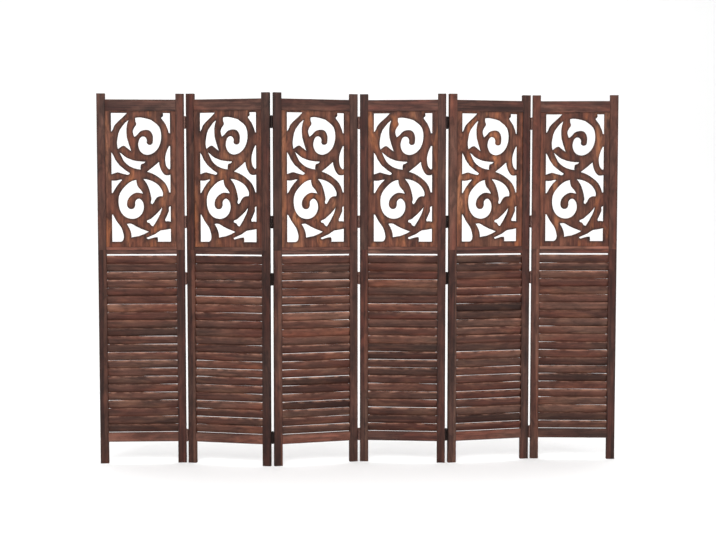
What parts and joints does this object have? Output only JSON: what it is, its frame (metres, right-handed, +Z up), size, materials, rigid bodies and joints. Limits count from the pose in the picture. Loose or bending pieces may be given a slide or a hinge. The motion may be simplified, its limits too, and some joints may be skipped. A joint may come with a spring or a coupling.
{
  "type": "folding screen",
  "caption": "Tall folding room divider of hinged wooden panels, each with a scroll fretwork board over a louvre of fixed leaning slats.",
  "frame": {"origin": "centre of the bounding box of the standing screen, on the floor", "axes": "+Z up, +X along the row from the first panel to the last, -Y towards the room side"},
  "size_m": [2.398, 0.144, 1.7],
  "materials": {
    "post_wood": "dark brown stain, satin",
    "rail_wood": "dark brown stain, satin",
    "fretwork_wood": "red-brown stain with darkened cut edges, satin",
    "slat_wood": "dark brown stain, satin, tone varies from slat to slat",
    "hinge_metal": "dark bronze lacquer",
    "pin_metal": "dark bronzed steel",
    "screw_metal": "bronzed steel"
  },
  "bodies": {
    "panel_1": {"left_post_1": "post_wood", "right_post_1": "post_wood", "top_rail_1": "rail_wood", "mid_rails_1": "rail_wood", "bottom_rail_1": "rail_wood", "fretwork_1": "fretwork_wood", "slats_1": "slat_wood", "hinge_leaves_1": "hinge_metal", "hinge_screws_1": "screw_metal", "hinge_pins_1": "pin_metal"},
    "panel_2": {"left_post_2": "post_wood", "right_post_2": "post_wood", "top_rail_2": "rail_wood", "mid_rails_2": "rail_wood", "bottom_rail_2": "rail_wood", "fretwork_2": "fretwork_wood", "slats_2": "slat_wood", "hinge_leaves_2": "hinge_metal", "hinge_screws_2": "screw_metal", "hinge_pins_2": "pin_metal"},
    "panel_3": {"left_post_3": "post_wood", "right_post_3": "post_wood", "top_rail_3": "rail_wood", "mid_rails_3": "rail_wood", "bottom_rail_3": "rail_wood", "fretwork_3": "fretwork_wood", "slats_3": "slat_wood", "hinge_leaves_3": "hinge_metal", "hinge_screws_3": "screw_metal", "hinge_pins_3": "pin_metal"},
    "panel_4": {"left_post_4": "post_wood", "right_post_4": "post_wood", "top_rail_4": "rail_wood", "mid_rails_4": "rail_wood", "bottom_rail_4": "rail_wood", "fretwork_4": "fretwork_wood", "slats_4": "slat_wood", "hinge_leaves_4": "hinge_metal", "hinge_screws_4": "screw_metal", "hinge_pins_4": "pin_metal"},
    "panel_5": {"left_post_5": "post_wood", "right_post_5": "post_wood", "top_rail_5": "rail_wood", "mid_rails_5": "rail_wood", "bottom_rail_5": "rail_wood", "fretwork_5": "fretwork_wood", "slats_5": "slat_wood", "hinge_leaves_5": "hinge_metal", "hinge_screws_5": "screw_metal", "hinge_pins_5": "pin_metal"},
    "panel_6": {"left_post_6": "post_wood", "right_post_6": "post_wood", "top_rail_6": "rail_wood", "mid_rails_6": "rail_wood", "bottom_rail_6": "rail_wood", "fretwork_6": "fretwork_wood", "slats_6": "slat_wood", "hinge_leaves_6": "hinge_metal", "hinge_screws_6": "screw_metal"}
  },
  "joints": [
    {"name": "fold_1", "type": "hinge", "parent": "panel_1", "child": "panel_2", "pos_m": [-0.79978, 0.02283, 0.85], "axis": [0, 0, -1], "range_deg": [-15, 165]},
    {"name": "fold_2", "type": "hinge", "parent": "panel_2", "child": "panel_3", "pos_m": [-0.4024, -0.04984, 0.85], "axis": [0, 0, 1], "range_deg": [-28, 152]},
    {"name": "fold_3", "type": "hinge", "parent": "panel_3", "child": "panel_4", "pos_m": [-0.00419, 0.01813, 0.85], "axis": [0, 0, -1], "range_deg": [-21, 159]},
    {"name": "fold_4", "type": "hinge", "parent": "panel_4", "child": "panel_5", "pos_m": [0.39908, -0.00558, 0.85], "axis": [0, 0, 1], "range_deg": [-19, 161]},
    {"name": "fold_5", "type": "hinge", "parent": "panel_5", "child": "panel_6", "pos_m": [0.79942, 0.04846, 0.85], "axis": [0, 0, -1], "range_deg": [-16, 164]}
  ]
}
